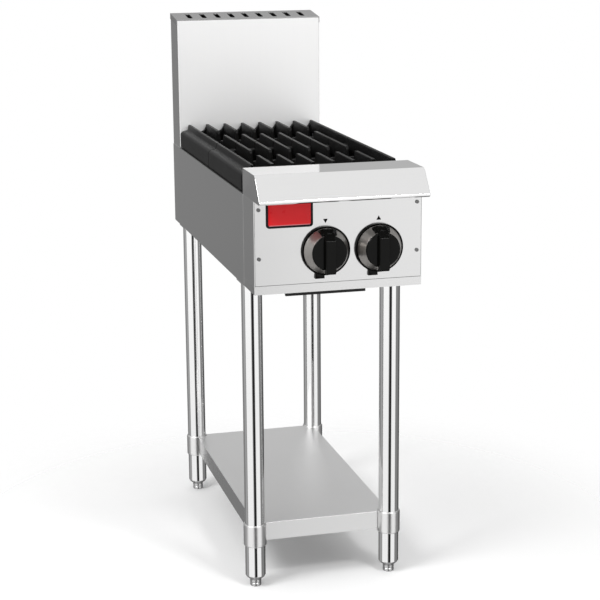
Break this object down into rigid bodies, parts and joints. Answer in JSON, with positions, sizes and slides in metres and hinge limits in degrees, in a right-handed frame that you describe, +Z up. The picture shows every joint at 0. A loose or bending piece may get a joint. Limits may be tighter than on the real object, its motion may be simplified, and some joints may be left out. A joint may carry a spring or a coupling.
{
  "type": "gas boiling top on leg stand",
  "caption": "Narrow stainless gas hob with open burners under cast-iron trivets, a slotted flue splashback, front knobs and a tubular leg stand with an undershelf.",
  "frame": {"origin": "on the floor, under the middle of the unit's overall size", "axes": "+Z up, +Y from the operator's side to the wall, +X to the operator's right"},
  "size_m": [0.305, 0.79, 1.028],
  "materials": {
    "stainless": "satin brushed stainless sheet",
    "enamelled_pan": "semi-gloss dark enamel",
    "trivet_iron": "matt black enamelled casting",
    "burner_iron": "bare casting",
    "cap_brass": "heat-stained brass",
    "pilot_steel": "plain steel",
    "valve_brass": "machined brass",
    "tube_copper": "soft copper tube",
    "pipe_steel": "galvanised pipe",
    "spindle_steel": "turned steel",
    "knob_plastic": "gloss black phenolic",
    "knob_metal": "circular brushed",
    "black_print": "screen print",
    "badge_black": "gloss black",
    "badge_red": "gloss red enamel",
    "screw_steel": "plain stainless",
    "tray_black": "matt black",
    "leg_tube": "polished stainless tube",
    "insert_steel": "plain steel",
    "socket_alloy": "satin cast alloy"
  },
  "bodies": {
    "unit": {"left_side_panel": "stainless", "right_side_panel": "stainless", "back_panel": "stainless", "base_pan": "stainless", "control_panel": "stainless", "front_ledge": "stainless", "splashback": "stainless", "flue_cap": "stainless", "undershelf": "stainless", "drip_tray_runners": "stainless", "jet_bracket": "stainless", "burner_brackets": "stainless", "hob_pan": "enamelled_pan", "front_burner_body": "burner_iron", "rear_burner_body": "burner_iron", "front_pilot": "pilot_steel", "rear_pilot": "pilot_steel", "front_valve": "valve_brass", "rear_valve": "valve_brass", "front_jet": "valve_brass", "rear_jet": "valve_brass", "front_supply_tube": "tube_copper", "rear_supply_tube": "tube_copper", "manifold": "pipe_steel", "inlet_pipe": "pipe_steel", "front_knob_bezel": "knob_plastic", "rear_knob_bezel": "knob_plastic", "burner_marks": "black_print", "badge_frame": "badge_black", "badge_plate": "badge_red", "panel_screws": "screw_steel", "leg_bolts": "screw_steel", "front_left_leg": "leg_tube", "front_right_leg": "leg_tube", "back_left_leg": "leg_tube", "back_right_leg": "leg_tube", "leg_end_inserts": "insert_steel", "shelf_sockets": "socket_alloy"},
    "front_push": {"front_spindle": "spindle_steel"},
    "front_knob": {"front_knob_skirt": "knob_metal", "front_knob_grip": "knob_plastic"},
    "rear_push": {"rear_spindle": "spindle_steel"},
    "rear_knob": {"rear_knob_skirt": "knob_metal", "rear_knob_grip": "knob_plastic"},
    "front_trivet_body": {"front_trivet": "trivet_iron"},
    "rear_trivet_body": {"rear_trivet": "trivet_iron"},
    "front_cap_body": {"front_burner_cap": "cap_brass"},
    "rear_cap_body": {"rear_burner_cap": "cap_brass"},
    "tray_body": {"drip_tray": "stainless", "drip_tray_handle": "tray_black"},
    "foot_front_left": {"front_left_foot": "insert_steel"},
    "foot_front_right": {"front_right_foot": "insert_steel"},
    "foot_back_left": {"back_left_foot": "insert_steel"},
    "foot_back_right": {"back_right_foot": "insert_steel"}
  },
  "joints": [
    {"name": "front_knob_push", "type": "slide", "parent": "unit", "child": "front_push", "axis": [0, 1, 0], "range_m": [0, 0.004], "stiffness_N_per_m": 900},
    {"name": "front_knob_turn", "type": "hinge", "parent": "front_push", "child": "front_knob", "pos_m": [-0.024, -0.374, 0.6605], "axis": [0, -1, 0], "range_deg": [0, 180]},
    {"name": "rear_knob_push", "type": "slide", "parent": "unit", "child": "rear_push", "axis": [0, 1, 0], "range_m": [0, 0.004], "stiffness_N_per_m": 900},
    {"name": "rear_knob_turn", "type": "hinge", "parent": "rear_push", "child": "rear_knob", "pos_m": [0.073, -0.374, 0.6605], "axis": [0, -1, 0], "range_deg": [0, 180]},
    {"name": "front_trivet_lift", "type": "slide", "parent": "unit", "child": "front_trivet_body", "axis": [0, 0, 1], "range_m": [0, 0.12]},
    {"name": "front_cap_lift", "type": "slide", "parent": "unit", "child": "front_cap_body", "axis": [0, 0, 1], "range_m": [0, 0.006]},
    {"name": "rear_trivet_lift", "type": "slide", "parent": "unit", "child": "rear_trivet_body", "axis": [0, 0, 1], "range_m": [0, 0.12]},
    {"name": "rear_cap_lift", "type": "slide", "parent": "unit", "child": "rear_cap_body", "axis": [0, 0, 1], "range_m": [0, 0.006]},
    {"name": "drip_tray_slide", "type": "slide", "parent": "unit", "child": "tray_body", "axis": [0, -1, 0], "range_m": [0, 0.45]},
    {"name": "front_left_foot_screw", "type": "slide", "parent": "unit", "child": "foot_front_left", "axis": [0, 0, -1], "range_m": [0, 0.02]},
    {"name": "front_right_foot_screw", "type": "slide", "parent": "unit", "child": "foot_front_right", "axis": [0, 0, -1], "range_m": [0, 0.02]},
    {"name": "back_left_foot_screw", "type": "slide", "parent": "unit", "child": "foot_back_left", "axis": [0, 0, -1], "range_m": [0, 0.02]},
    {"name": "back_right_foot_screw", "type": "slide", "parent": "unit", "child": "foot_back_right", "axis": [0, 0, -1], "range_m": [0, 0.02]}
  ]
}
